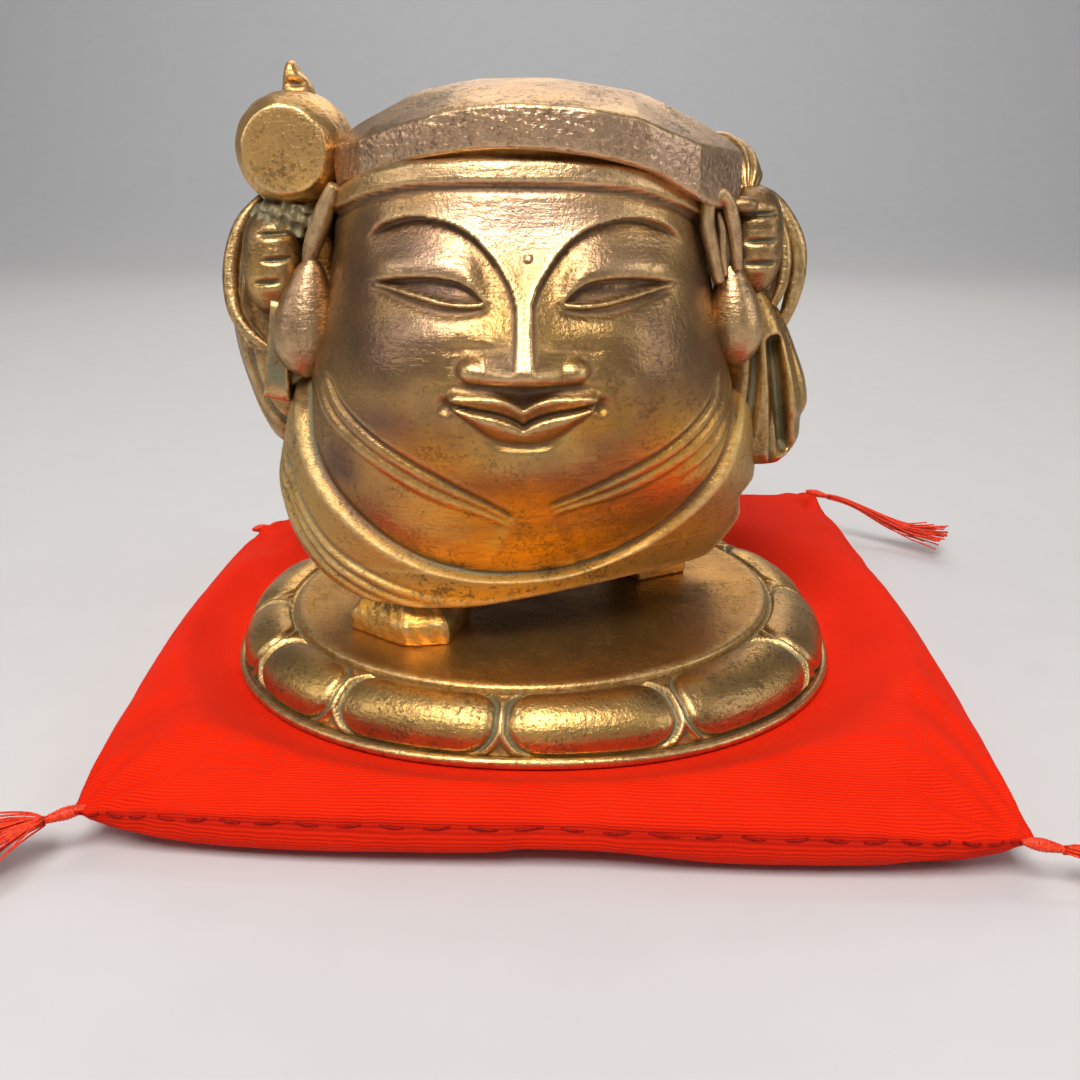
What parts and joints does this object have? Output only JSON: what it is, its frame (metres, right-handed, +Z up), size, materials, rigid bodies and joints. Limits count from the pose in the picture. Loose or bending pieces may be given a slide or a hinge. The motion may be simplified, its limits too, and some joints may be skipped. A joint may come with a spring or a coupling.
{
  "type": "round lucky god doll on a lotus base with a tasselled cushion",
  "caption": "Cast bronze round folk figure with hood, raised mallet and sack, standing on a lotus-petal base that rests in the dent of a red tasselled cushion.",
  "frame": {"origin": "on the table surface under the middle of the lotus base, on the flat underside of the cushion", "axes": "+Z up; the figure looks along -Y; +X is to the figure's left hand"},
  "size_m": [0.2419, 0.1925, 0.1193],
  "materials": {
    "red_cloth": "fine ribbed crepe, soft sheen",
    "wadding": "loose cotton wadding",
    "seam_thread": "twisted sewing thread",
    "tassel_thread": "silky embroidery floss",
    "figure_bronze": "cast bronze with worn gilt patina and verdigris in the hollows",
    "base_bronze": "cast bronze with worn gilt patina and verdigris in the grooves",
    "deck_bronze": "brown patinated bronze with fine level streaks",
    "pin_brass": "drawn rod, plain",
    "screw_steel": "plain turned steel"
  },
  "bodies": {
    "cushion": {"cushion_cover_top": "red_cloth", "cushion_cover_bottom": "red_cloth", "cushion_wadding": "wadding", "closing_stitches": "seam_thread", "tassel_binding_front_left": "tassel_thread", "tassel_binding_front_right": "tassel_thread", "tassel_binding_back_right": "tassel_thread", "tassel_binding_back_left": "tassel_thread", "tassel_skein_front_left": "tassel_thread", "tassel_skein_front_right": "tassel_thread", "tassel_skein_back_right": "tassel_thread", "tassel_skein_back_left": "tassel_thread"},
    "figure": {"lotus_base": "base_bronze", "base_deck": "deck_bronze", "foot_right": "figure_bronze", "foot_left": "figure_bronze", "foot_screws": "screw_steel", "foot_washers": "screw_steel", "body_shell": "figure_bronze", "hood": "figure_bronze", "hood_pins": "pin_brass", "arm_right": "figure_bronze", "arm_left": "figure_bronze", "arm_dowels": "pin_brass", "mallet_head": "figure_bronze", "mallet_handle": "figure_bronze", "sack": "figure_bronze"}
  },
  "joints": [
    {"name": "figure_lift", "type": "slide", "parent": "cushion", "child": "figure", "axis": [0, 0, 1], "range_m": [0, 0.04]}
  ]
}
